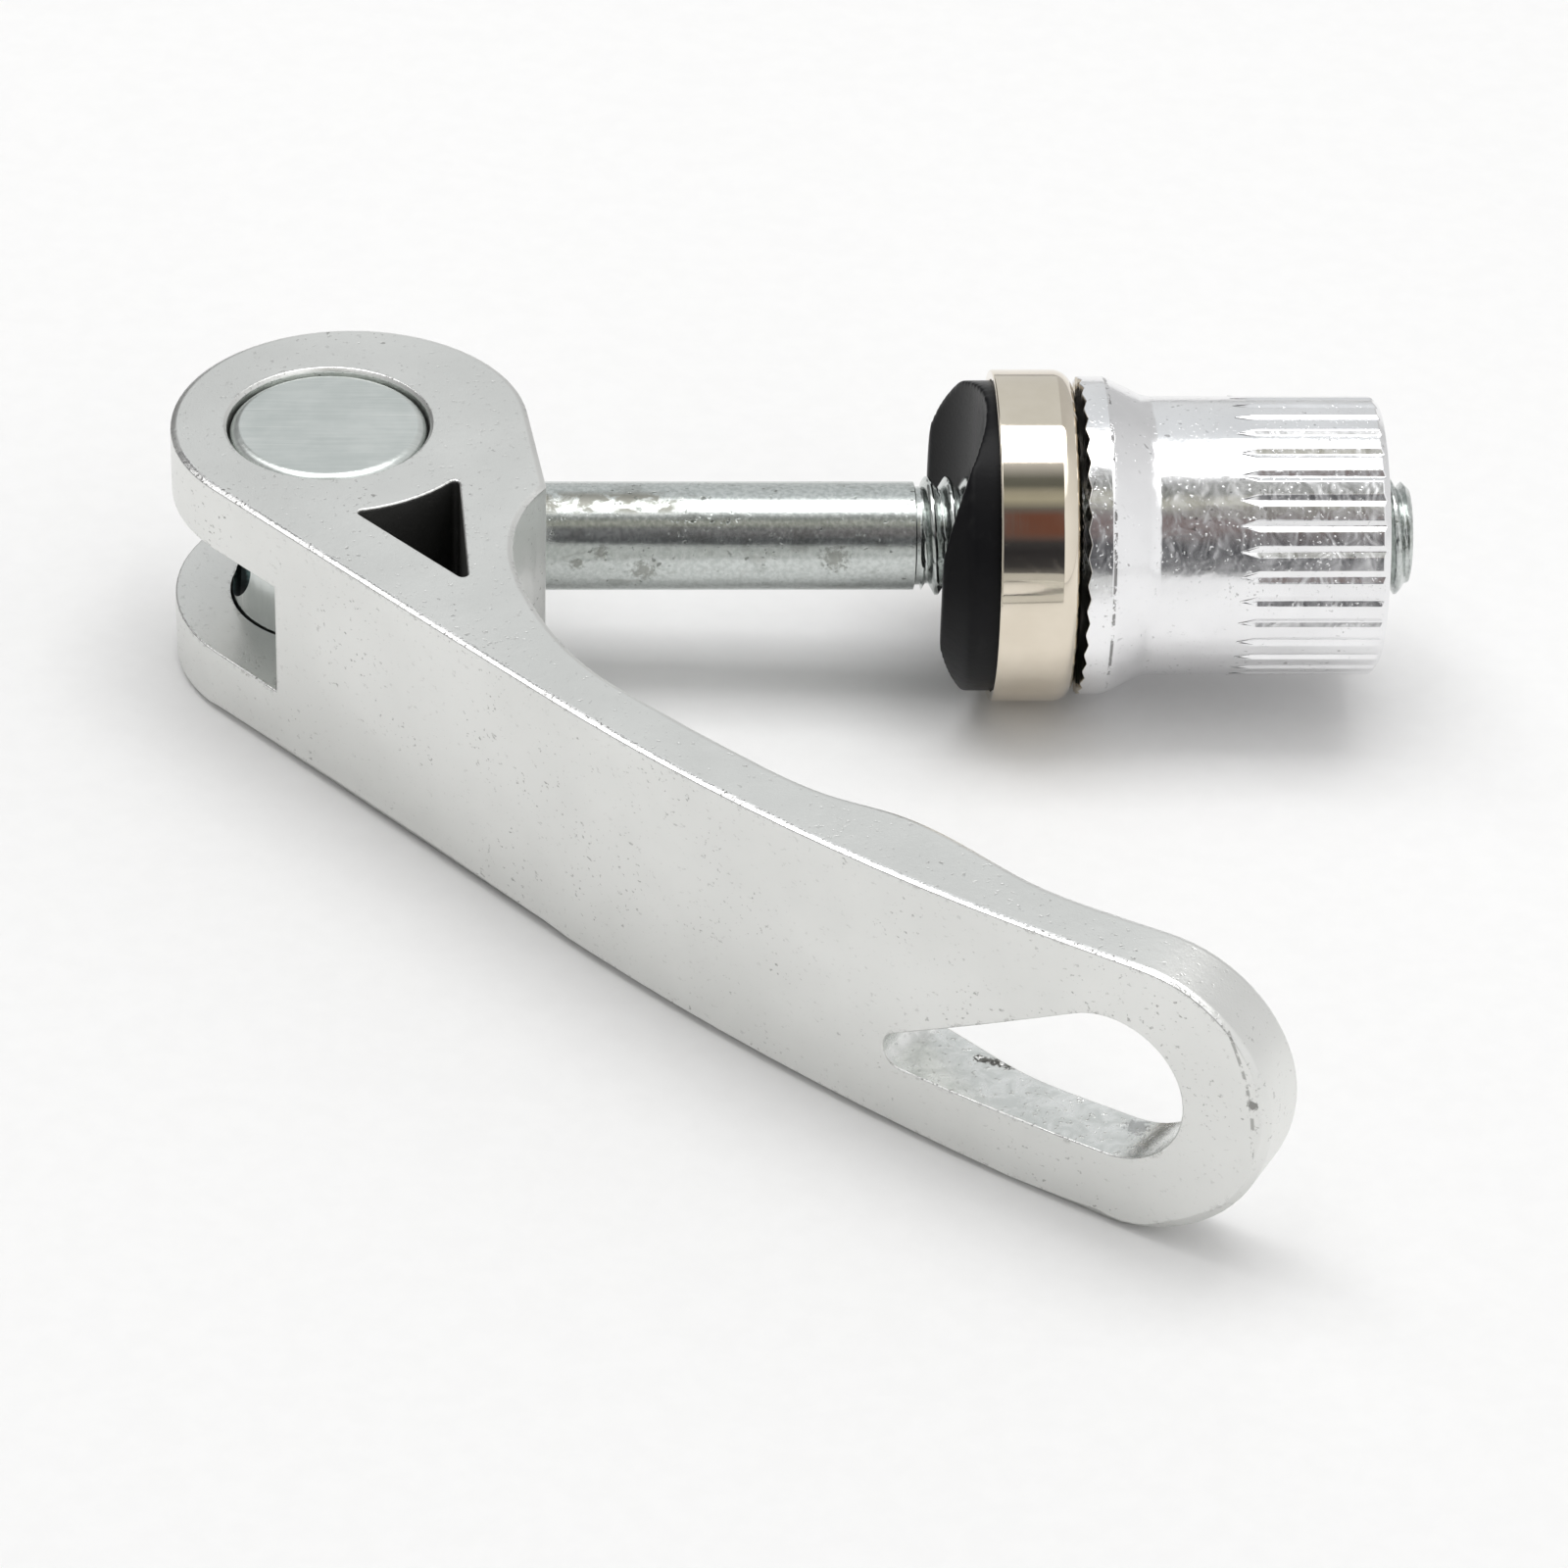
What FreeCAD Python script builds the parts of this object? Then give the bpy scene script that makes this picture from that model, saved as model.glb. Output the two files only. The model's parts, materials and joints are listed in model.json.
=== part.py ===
"""Quick release binder bolt for a bicycle seatpost clamp, in millimetres.

The bolt lies along +X with its nut at the far end, and the lever turns about +Z
on the barrel. The origin is where those two axes cross.
"""
import os
from math import acos, asin, atan2, cos, degrees, hypot, pi, radians, sin

import FreeCAD
import Part

V = FreeCAD.Vector
X_AXIS = V(1, 0, 0)
Z_AXIS = V(0, 0, 1)
ORIGIN = V(0, 0, 0)

# Bolt: a plain shank, a turned relief and an M6 thread
SHANK_D = 5.4
THREAD_D = 5.9
RELIEF_D = 5.0
BOLT_END = 53.75
THREAD_L = 24.75
RELIEF_L = 0.55
BOLT_PROUD = 1.65
BOLT_TIP_CHAMFER = 0.6

# Barrel: the cross pin that the bolt is screwed into and the lever turns on
BARREL_D = 9.8
BARREL_SINK = 0.1
BARREL_CHAMFER = 0.35
BOLT_SEAT_DEPTH = 3.2
THREAD_PLAY = 0.02

# Lever head: an eccentric cam with a slot for the bolt
HEAD_R = 8.8
CAM_THROW = 1.05
HEAD_H = 13.3
SLOT_H = 6.1
SLOT_STOP_X = -2.5
BOLT_SWING_PLAY = 0.4
PIVOT_PLAY = 0.1
BORE_CHAMFER = 0.15

# Closed stop: the land right of the cam ends in a spur above a notch
SPUR_X = 10.65
SPUR_Y = -5.7
NOTCH_X = 9.0
NOTCH_Y = -10.4
ROOT_X = 10.2
ROOT_Y = -16.8

# Lever arm: a straight strip that bends towards the nut
ARM_ANGLE = -48.2
ARM_STRAIGHT = 24.0
ARM_LENGTH = 64.7
ARM_BEND_R = 126.0
ARM_T = 3.05
ARM_ROOT_S = 24.5
SWELL_H = 1.05
SWELL_AT = 43.6
SWELL_RISE = 6.6
SWELL_FALL = 9.0
TIP_SWELL_H = 0.45
TIP_SWELL_FROM = 50.0
TIP_H = 14.7
TIP_NOSE_Z = 0.7
FLARE_START = 6.0
TIP_TRIM = 1.0
EDGE_CHAMFER = 0.35

# Teardrop finger hole near the lever's tip, placed along the arm and up it
TEAR_SMALL_AT = 45.9
TEAR_SMALL_Z = -2.65
TEAR_SMALL_R = 0.95
TEAR_BIG_AT = 56.75
TEAR_BIG_Z = 0.3
TEAR_BIG_R = 3.75

# Three-sided window through the arm's root
WINDOW_PIN_WALL = 3.0
WINDOW_OUTER_WALL = 3.75
WINDOW_TOP_X = 6.4
WINDOW_FOOT_X = 7.1
WINDOW_FOOT_Y = -13.9
WINDOW_CORNER_R = 0.25

# Plastic cam seat in its metal cup
SEAT_R = 7.73
SEAT_PROUD = 2.75
SEAT_CHAMFER_L = 1.35
SEAT_CHAMFER_R = 1.1
SADDLE_DEPTH = 2.25
SADDLE_PLAY = 0.35
SEAT_BORE_PLAY = 0.2
CUP_L = 4.05
CUP_WALL = 0.5
CUP_BACK = 0.6
CUP_BEND_R = 1.0
SEAT_PLAY = 0.05

# Nut: serrated flange, cone, neck and knurled barrel
NUT_GAP = 0.25
NUT_L = 15.0
FLANGE_INSET = 0.35
FLANGE_L = 1.32
CONE_L = 2.03
NECK_R = 6.95
NUT_END_CHAMFER = 0.35
NUT_BORE_CHAMFER = 0.5
NUT_THREAD_PLAY = 0.05
SERRATIONS = 36
SERRATION_DEPTH = 0.16
SERRATION_W = 1.25
KNURLS = 34
KNURL_DEPTH = 0.14
KNURL_W = 0.62
KNURL_L = 6.5
KNURL_RUNOUT = 0.9

# How far a cutter reaches past the face that it opens
CUT_PAST = 1.0

# Sizes that follow from those above, with the washer and nut placed from the bolt's end
THREAD_START = BOLT_END - THREAD_L
NUT_REAR = BOLT_END - BOLT_PROUD
NUT_FRONT = NUT_REAR - NUT_L
CUP_REAR = NUT_FRONT - NUT_GAP
CUP_FRONT = CUP_REAR - CUP_L
SEAT_FRONT = CUP_FRONT - SEAT_PROUD
HEAD_CENTRE = V(CAM_THROW, 0, 0)
PIVOT_R = BARREL_D / 2 + PIVOT_PLAY
SLOT_STOP_Y = -(SHANK_D / 2 + BOLT_SWING_PLAY)
SADDLE_R = HEAD_R + SADDLE_PLAY
SADDLE_FLOOR = SEAT_FRONT + SADDLE_DEPTH
SEAT_BORE_R = THREAD_D / 2 + SEAT_BORE_PLAY
CUP_R = SEAT_R + SEAT_PLAY + CUP_WALL
FLANGE_R = CUP_R - FLANGE_INSET
NUT_BORE_R = THREAD_D / 2 + NUT_THREAD_PLAY
REACH = ARM_LENGTH + HEAD_R


def heading(angle):
    """Unit vector in plan at an angle in degrees."""
    return V(cos(radians(angle)), sin(radians(angle)), 0)


def inward(angle):
    """Unit normal on the left of a heading, from the arm's outer edge into it."""
    return heading(angle + 90)


ARM_FOOT = HEAD_CENTRE - inward(ARM_ANGLE) * HEAD_R
BEND_START = ARM_FOOT + heading(ARM_ANGLE) * ARM_STRAIGHT
BEND_CENTRE = BEND_START + inward(ARM_ANGLE) * ARM_BEND_R


def arm_angle(s):
    """Heading of the arm at a distance along its outer edge."""
    return ARM_ANGLE + degrees(max(0, s - ARM_STRAIGHT) / ARM_BEND_R)


def on_arm(s, depth):
    """Plan point at a distance along the arm and a depth in from its outer edge."""
    if s <= ARM_STRAIGHT:
        edge = ARM_FOOT + heading(ARM_ANGLE) * s
    else:
        edge = BEND_CENTRE - inward(arm_angle(s)) * ARM_BEND_R
    return edge + inward(arm_angle(s)) * depth


def arm_depth(s):
    """Thickness of the arm: a thumb swell as one smooth wave, then a slow rise to the tip."""
    half = SWELL_RISE if s < SWELL_AT else SWELL_FALL
    away = min(1, abs(s - SWELL_AT) / half)
    to_tip = max(0, (s - TIP_SWELL_FROM) / (ARM_LENGTH - TIP_SWELL_FROM))
    return ARM_T + SWELL_H * (1 + cos(pi * away)) / 2 + TIP_SWELL_H * to_tip ** 2


def face_of(edges):
    return Part.Face(Part.Wire(Part.__sortEdges__(edges)))


def line(a, b):
    return Part.makeLine(a, b)


def arc(a, b, c):
    return Part.Arc(a, b, c).toShape()


def along_x(radius, start, end):
    """Round bar on the bolt's axis."""
    return Part.makeCylinder(radius, end - start, V(start, 0, 0), X_AXIS)


def turned(profile):
    """Solid of revolution about the bolt's axis from (x, radius) corners."""
    corners = [V(x, r, 0) for x, r in profile]
    face = Part.Face(Part.makePolygon(corners + corners[:1]))
    return face.revolve(ORIGIN, X_AXIS, 360)


def around_x(cutter, count):
    """Copies of a cutter set evenly about the bolt's axis."""
    copies = []
    for i in range(count):
        copy = cutter.copy()
        copy.rotate(ORIGIN, X_AXIS, 360 * i / count)
        copies.append(copy)
    return copies


def circle_edges(shape, radius, heights):
    """Circular edges of one radius about the pivot, at the given heights."""
    found = []
    for edge in shape.Edges:
        curve = edge.Curve
        if not isinstance(curve, Part.Circle):
            continue
        if abs(curve.Radius - radius) > 1e-4 or hypot(curve.Center.x, curve.Center.y) > 1e-4:
            continue
        if any(abs(curve.Center.z - z) < 1e-4 for z in heights):
            found.append(edge)
    return found


def lever_plan():
    """Outline of the lever seen along the pivot, with its tip left long."""
    spur = V(SPUR_X, SPUR_Y, 0)
    to_spur = spur - HEAD_CENTRE
    land_turn = degrees(atan2(to_spur.y, to_spur.x) + acos(HEAD_R / to_spur.Length))
    land_start = HEAD_CENTRE + heading(land_turn) * HEAD_R
    head_top = HEAD_CENTRE + heading(land_turn + 90) * HEAD_R
    long_end = ARM_LENGTH + TIP_TRIM
    steps = 14
    run = (long_end - ARM_ROOT_S) / steps
    stations = [ARM_ROOT_S + run * i for i in range(steps + 1)]
    inner = [spur, V(NOTCH_X, NOTCH_Y, 0), V(ROOT_X, ROOT_Y, 0)]
    inner += [on_arm(s, arm_depth(s)) for s in stations]
    inner_edge = Part.BSplineCurve()
    inner_edge.interpolate(inner)
    tip_out = on_arm(long_end, 0)
    mid_bend = on_arm((ARM_STRAIGHT + long_end) / 2, 0)
    return face_of([
        arc(ARM_FOOT, head_top, land_start),
        line(land_start, spur),
        inner_edge.toShape(),
        line(inner[-1], tip_out),
        arc(tip_out, mid_bend, BEND_START),
        line(BEND_START, ARM_FOOT),
    ])


def lever_side():
    """Outline of the lever seen across the arm: level head, slow flare, round tip with a raised nose."""
    ahead = heading(arm_angle(ARM_LENGTH))
    end = on_arm(ARM_LENGTH, 0).dot(ahead)
    level = HEAD_H / 2
    back = -2 * HEAD_R

    def at(a, z):
        return ahead * a + Z_AXIS * z

    def edge_points(sign):
        """Points of the upper or lower edge, whose flare leaves the head and meets the tip smoothly."""
        rise = sign * TIP_NOSE_Z
        tip_r = TIP_H / 2 - rise
        run = end - tip_r - FLARE_START
        flare_r = (run ** 2 + (level - rise) ** 2 - tip_r ** 2) / (TIP_H - HEAD_H)
        turn = asin(run / (flare_r + tip_r))
        points = []
        for sweep in (0, turn / 2, turn):
            points.append(at(FLARE_START + flare_r * sin(sweep), sign * (level + flare_r * (1 - cos(sweep)))))
        crown = (pi / 2 + turn) / 2
        points.append(at(end - tip_r * (1 - cos(crown)), sign * (rise + tip_r * sin(crown))))
        return points + [at(end, TIP_NOSE_Z)]

    over, under = edge_points(1), edge_points(-1)
    return face_of([
        line(at(back, -level), at(back, level)),
        line(at(back, level), over[0]),
        arc(*over[:3]),
        arc(*over[2:]),
        arc(*under[:1:-1]),
        arc(*under[2::-1]),
        line(under[0], at(back, -level)),
    ])


def lever_blank():
    """Cast form of the lever before it is slotted and bored, with its edges broken."""
    plan = lever_plan().extrude(Z_AXIS * (2 * TIP_H))
    plan.translate(Z_AXIS * -TIP_H)
    across = inward(arm_angle(ARM_LENGTH))
    side = lever_side()
    side.translate(across * -REACH)
    blank = plan.common(side.extrude(across * (2 * REACH)))
    rims = []
    for edge in blank.Edges:
        tangent = edge.tangentAt((edge.FirstParameter + edge.LastParameter) / 2)
        straight_across = abs(tangent.dot(across)) > 0.9999
        upright = abs(tangent.z) > 0.999 and isinstance(edge.Curve, Part.Line)
        if not straight_across and not upright:
            rims.append(edge)
    return blank.makeChamfer(EDGE_CHAMFER, rims)


def bolt_slot():
    """Space that the bolt sweeps as the lever turns, between its two stops."""
    corners = [
        V(REACH, SLOT_STOP_Y, 0),
        V(SLOT_STOP_X, SLOT_STOP_Y, 0),
        V(SLOT_STOP_X, -REACH, 0),
        V(-REACH, -REACH, 0),
        V(-REACH, REACH, 0),
        V(REACH, REACH, 0),
    ]
    slot = Part.Face(Part.makePolygon(corners + corners[:1])).extrude(Z_AXIS * SLOT_H)
    slot.translate(Z_AXIS * (-SLOT_H / 2))
    return slot


def root_window():
    """Window between the pin's wall, the outer edge's wall and the notch."""
    reach = PIVOT_R + WINDOW_PIN_WALL
    top_angle = -degrees(asin((reach ** 2 - WINDOW_TOP_X ** 2) ** 0.5 / reach))
    wall = on_arm(0, WINDOW_OUTER_WALL)
    along = heading(ARM_ANGLE)
    # Where the wall's line meets the arc about the pin
    near = wall.dot(along)
    off = wall.dot(inward(ARM_ANGLE))
    left = inward(ARM_ANGLE) * off + along * (reach ** 2 - off ** 2) ** 0.5
    left_angle = -degrees(asin(-left.y / reach))
    top = heading(top_angle) * reach
    foot_s = V(WINDOW_FOOT_X, WINDOW_FOOT_Y, 0).dot(along) - near
    foot = wall + along * foot_s
    middle = heading((top_angle + left_angle) / 2) * reach
    window = face_of([arc(left, middle, top), line(top, foot), line(foot, left)])
    window = window.extrude(Z_AXIS * (2 * TIP_H))
    window.translate(Z_AXIS * -TIP_H)
    corners = [e for e in window.Edges if abs(e.tangentAt(e.FirstParameter).z) > 0.999]
    return window.makeFillet(WINDOW_CORNER_R, corners)


def teardrop():
    """Finger hole: two circles joined by their common tangents, cut straight across."""
    middle = (TEAR_SMALL_AT + TEAR_BIG_AT) / 2
    base = on_arm(middle, 0)
    ahead = heading(arm_angle(middle))
    across = inward(arm_angle(middle))
    small = ahead * (TEAR_SMALL_AT - middle) + Z_AXIS * TEAR_SMALL_Z
    big = ahead * (TEAR_BIG_AT - middle) + Z_AXIS * TEAR_BIG_Z
    span = big - small
    lean = asin(span.z / span.Length)
    spread = asin((TEAR_BIG_R - TEAR_SMALL_R) / span.Length)

    def rim(centre, radius, turn):
        return base + centre + (ahead * cos(turn) + Z_AXIS * sin(turn)) * radius

    upper = lean + pi / 2 + spread
    lower = lean - pi / 2 - spread
    hole = face_of([
        arc(rim(small, TEAR_SMALL_R, upper), rim(small, TEAR_SMALL_R, lean + pi),
            rim(small, TEAR_SMALL_R, lower)),
        line(rim(small, TEAR_SMALL_R, lower), rim(big, TEAR_BIG_R, lower)),
        arc(rim(big, TEAR_BIG_R, lower), rim(big, TEAR_BIG_R, lean),
            rim(big, TEAR_BIG_R, upper)),
        line(rim(big, TEAR_BIG_R, upper), rim(small, TEAR_SMALL_R, upper)),
    ])
    hole.translate(across * -TIP_H)
    return hole.extrude(across * (2 * TIP_H))


def make_lever():
    pivot_bore = Part.makeCylinder(PIVOT_R, 2 * TIP_H, V(0, 0, -TIP_H))
    lever = lever_blank().cut([bolt_slot(), pivot_bore, root_window(), teardrop()])
    mouths = circle_edges(lever, PIVOT_R, (-HEAD_H / 2, HEAD_H / 2))
    return lever.makeChamfer(BORE_CHAMFER, mouths)


def make_barrel():
    length = HEAD_H - 2 * BARREL_SINK
    barrel = Part.makeCylinder(BARREL_D / 2, length, V(0, 0, -length / 2))
    ends = circle_edges(barrel, BARREL_D / 2, (-length / 2, length / 2))
    barrel = barrel.makeChamfer(BARREL_CHAMFER, ends)
    seat = along_x(SHANK_D / 2 + THREAD_PLAY, -BOLT_SEAT_DEPTH - THREAD_PLAY, BARREL_D)
    return barrel.cut(seat)


def make_bolt():
    shank, relief, thread = SHANK_D / 2, RELIEF_D / 2, THREAD_D / 2
    relief_end = THREAD_START + RELIEF_L
    return turned([
        (-BOLT_SEAT_DEPTH, 0),
        (-BOLT_SEAT_DEPTH, shank),
        (THREAD_START, shank),
        (THREAD_START + RELIEF_L / 3, relief),
        (relief_end - RELIEF_L / 3, relief),
        (relief_end, thread),
        (BOLT_END - BOLT_TIP_CHAMFER, thread),
        (BOLT_END, thread - BOLT_TIP_CHAMFER),
        (BOLT_END, 0),
    ])


def make_cam_seat():
    """Plastic disc, chamfered in front, with a saddle for the cam across it."""
    rear = CUP_REAR - CUP_BACK - SEAT_PLAY
    disc = turned([
        (SEAT_FRONT, SEAT_BORE_R),
        (SEAT_FRONT, SEAT_R - SEAT_CHAMFER_R),
        (SEAT_FRONT + SEAT_CHAMFER_L, SEAT_R),
        (rear - CUP_BEND_R, SEAT_R),
        (rear, SEAT_R - CUP_BEND_R),
        (rear, SEAT_BORE_R),
    ])
    saddle = Part.makeCylinder(SADDLE_R, 4 * SEAT_R, V(SADDLE_FLOOR - SADDLE_R, 0, -2 * SEAT_R))
    return disc.cut(saddle)


def make_cup():
    """Drawn sheet cup behind the cam seat, with its bend rounded."""
    blank = along_x(CUP_R, CUP_FRONT, CUP_REAR)
    bend = [e for e in blank.Edges if abs(e.CenterOfMass.x - CUP_REAR) < 1e-4]
    blank = blank.makeFillet(CUP_BEND_R, bend)
    inside = along_x(CUP_R - CUP_WALL, CUP_FRONT - CUT_PAST, CUP_REAR - CUP_BACK)
    return blank.cut([inside, along_x(SEAT_BORE_R, CUP_FRONT, CUP_REAR + CUT_PAST)])


def knurl_cutter():
    """One vee groove of the knurl, with a pointed run-out towards the flange."""
    start = NUT_REAR - KNURL_L
    over = NUT_REAR + CUT_PAST

    def vee(x, depth):
        half = KNURL_W / 2 * depth / KNURL_DEPTH
        rise = NECK_R + KNURL_DEPTH
        half_top = half * (rise - NECK_R + depth) / depth
        corners = [V(x, -half_top, rise), V(x, half_top, rise), V(x, 0, NECK_R - depth)]
        return Part.makePolygon(corners + corners[:1])

    groove = Part.Face(vee(start, KNURL_DEPTH)).extrude(X_AXIS * (over - start))
    point = vee(start - KNURL_RUNOUT, KNURL_DEPTH / 50)
    runout = Part.makeLoft([point, vee(start, KNURL_DEPTH)], True, True)
    return groove.fuse(runout)


def serration_cutter():
    """One radial vee across the nut's clamping face."""
    half = SERRATION_W / 2
    corners = [
        V(NUT_FRONT - SERRATION_DEPTH, -2 * half, 0),
        V(NUT_FRONT - SERRATION_DEPTH, 2 * half, 0),
        V(NUT_FRONT + SERRATION_DEPTH, 0, 0),
    ]
    vee = Part.Face(Part.makePolygon(corners + corners[:1]))
    vee.translate(Z_AXIS * (NUT_BORE_R + NUT_BORE_CHAMFER))
    return vee.extrude(Z_AXIS * FLANGE_R)


def make_nut():
    cone_start = NUT_FRONT + FLANGE_L
    cone_end = cone_start + CONE_L
    body = turned([
        (NUT_FRONT, NUT_BORE_R + NUT_BORE_CHAMFER),
        (NUT_FRONT, FLANGE_R),
        (cone_start, FLANGE_R),
        (cone_end, NECK_R),
        (NUT_REAR - NUT_END_CHAMFER, NECK_R),
        (NUT_REAR, NECK_R - NUT_END_CHAMFER),
        (NUT_REAR, NUT_BORE_R + NUT_BORE_CHAMFER),
        (NUT_REAR - NUT_BORE_CHAMFER, NUT_BORE_R),
        (NUT_FRONT + NUT_BORE_CHAMFER, NUT_BORE_R),
    ])
    body = body.cut(around_x(serration_cutter(), SERRATIONS))
    return body.cut(around_x(knurl_cutter(), KNURLS))


PIECES = {
    "lever": make_lever,
    "barrel": make_barrel,
    "bolt": make_bolt,
    "cam_seat": make_cam_seat,
    "cup_washer": make_cup,
    "thumb_nut": make_nut,
}

os.makedirs("parts", exist_ok=True)
for name, make in PIECES.items():
    make().exportStep("parts/" + name + ".step")
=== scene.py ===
"""Quick release seatpost binder bolt on white paper: its finishes, its thread, light and camera.

The frame's units are metres, so sizes below are in millimetres times MM.
"""
import json
from math import cos, degrees, pi, radians, sin

import bmesh
import bpy
from mathutils import Matrix, Vector

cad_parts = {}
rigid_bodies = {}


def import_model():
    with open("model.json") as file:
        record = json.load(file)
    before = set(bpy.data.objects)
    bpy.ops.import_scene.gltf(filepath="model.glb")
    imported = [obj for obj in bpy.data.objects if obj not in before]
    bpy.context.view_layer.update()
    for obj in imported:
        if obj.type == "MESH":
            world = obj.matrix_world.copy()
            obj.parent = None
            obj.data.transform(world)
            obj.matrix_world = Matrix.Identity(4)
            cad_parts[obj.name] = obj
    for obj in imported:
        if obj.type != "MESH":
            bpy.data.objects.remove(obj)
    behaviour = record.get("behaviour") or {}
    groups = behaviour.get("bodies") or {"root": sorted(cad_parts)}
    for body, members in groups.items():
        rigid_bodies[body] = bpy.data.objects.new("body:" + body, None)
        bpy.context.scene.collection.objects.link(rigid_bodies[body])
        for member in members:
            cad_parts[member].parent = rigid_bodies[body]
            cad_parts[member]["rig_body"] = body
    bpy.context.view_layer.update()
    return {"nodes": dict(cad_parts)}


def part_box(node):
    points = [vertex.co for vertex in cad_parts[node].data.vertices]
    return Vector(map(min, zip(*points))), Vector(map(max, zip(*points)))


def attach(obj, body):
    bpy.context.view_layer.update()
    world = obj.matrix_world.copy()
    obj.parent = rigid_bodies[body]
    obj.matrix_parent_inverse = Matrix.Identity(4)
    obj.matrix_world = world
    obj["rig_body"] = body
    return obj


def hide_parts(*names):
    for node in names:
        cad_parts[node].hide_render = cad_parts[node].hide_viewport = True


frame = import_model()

MM = 0.001
MERGE = 0.0001 * MM

# Bolt: its tail, tip and crest come from the frame
SHANK_R = 2.70 * MM
GROOVE_R = 2.45 * MM
ROOT_R = 2.38 * MM
PITCH = 1.0 * MM
SHANK_END = 29.0 * MM
GROOVE_L = 0.4 * MM
TIP_CHAMFER = 0.6 * MM
FLANK_RISE = 1.5
ROOT_FLAT = 0.22
RINGS_PER_PITCH = 12
TURN_STEPS = 64
THREAD_SHARP = radians(50)

# Lever rims: how far the upper chamfers are laid flatter than the solid's, and how they are told apart
RIM_LIFT = 0.23 * MM
RIM_SPREAD = 0.105 * MM
# Leans are parts of a face's unit normal, and bends are in degrees
RIM_LEAN = (0.55, 0.83)
RIM_BEND = (30, 60)
UPRIGHT_LEAN = 0.4
TIP_FLAT_LEAN = 0.85
BRIGHT_LEAN = 0.6
FRONT_SHARE = 0.75

# Rounding of edges that the solids leave sharp: widths, and the bends in degrees that count as edges
FLAT_BEND = radians(0.05)
CUT_BEND = 20
SHARP_BEND = 25
ROUND_STEPS = 3
CUT_ROUND = 0.10 * MM
SIDE_ROUND = 0.05 * MM
BORE_ROUND = 0.04 * MM
BORE_REACH = 5.4 * MM
SEAT_GRID = 0.12 * MM
SEAT_SOFTENING = 14
CUP_ROUND = 0.12 * MM
NUT_ROUND = 0.05 * MM
FLANGE_ROUND = 0.15 * MM
NECK_ROUND = 0.35 * MM
BARREL_ROUND = 0.22 * MM
STRAY_SHADING = 0.5

# Tapped hole that opens the barrel's far side
TAPPED_R = 3.0 * MM
TAPPED_EDGE_R = TAPPED_R * 1.01
TAPPED_FROM = -6.0 * MM
TAPPED_TO = -3.0 * MM
DRILL_STEPS = 48

# Marks and worn places on the lever, on the nut's edges and on the bolt's shank, and where shade is painted
# on the lever
WINDOW_CORNERS = ((1.82, -7.76), (7.06, -13.4), (6.3, -5.24))
WINDOW_MARGIN = 0.4 * MM
HEAD_TOP = 6.65 * MM
RIM_WEAR = 0.45 * MM
TIP_ANGLE = radians(-29.7)
TIP_AHEAD = Vector((cos(TIP_ANGLE), sin(TIP_ANGLE), 0))
TIP_ACROSS = Vector((-sin(TIP_ANGLE), cos(TIP_ANGLE), 0))
TIP_FROM = 45 * MM
HOLE_FROM = 34 * MM
HOLE_TO = 59 * MM
HOLE_HALF = 4.4 * MM
HOLE_BLOTCH_AT = Vector((36.9, -43.3, -3.4)) * MM
FLAW_START = Vector((30.1, -38.0, -3.55)) * MM
FLAW_END = Vector((31.5, -38.6, -3.55)) * MM
TIP_SPECK_AT = Vector((41.25, -48.8, 2.1)) * MM
TIP_LINE_X = 41.40 * MM
TIP_LINE_Z = -0.4 * MM
TIP_LINE_BEND = 0.038 / MM
TIP_LINE_FOOT = -1.2 * MM
TIP_LINE_TOP = 5.6 * MM
TIP_FRONT_Y = -47 * MM
FLANGE_EDGE_X = 38.42 * MM
NECK_EDGE_X = 40.45 * MM
STAIN_FROM_X = 10.0 * MM
STAIN_TO_X = 18.0 * MM
STAIN_FROM_Z = 2.1 * MM
STAIN_TO_Y = 0.1 * MM
SMUDGE_FULL = 0.3
SMUDGES = (
    (Vector((12.2, -2.70, 0.1)) * MM, 0.38 * MM),
    (Vector((13.4, -2.60, 0.7)) * MM, 0.40 * MM),
    (Vector((15.5, -2.68, -0.3)) * MM, 0.75 * MM),
    (Vector((25.0, -2.67, 0.4)) * MM, 0.80 * MM),
)

# Camera: where it looks and from which side
LOOK_AT = Vector((21.75, -21.37, 0)) * MM
CAMERA_DISTANCE = 322.35 * MM
CAMERA_ELEVATION = radians(35.35)
CAMERA_YAW = radians(3.16)
CAMERA_ROLL = radians(1.705)
CAMERA_REACH = (0.01, 20)
LENS_MM = 156.58
SENSOR_MM = 36.0

# Light: one softbox overhead in a pale room that is darker behind the camera
BALANCE_POINT = Vector((20.2, -5.3, 0)) * MM
FLOOR_SIDE = 6.0
HULL_MERGE = 0.02 * MM
UNDERSIDE_LEAN = -0.9
SOFTBOX_DISTANCE = 0.60
SOFTBOX_ELEVATION = radians(100)
SOFTBOX_WIDE = 0.62
SOFTBOX_DEEP = 0.32
SOFTBOX_POWER = 1.85


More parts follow.
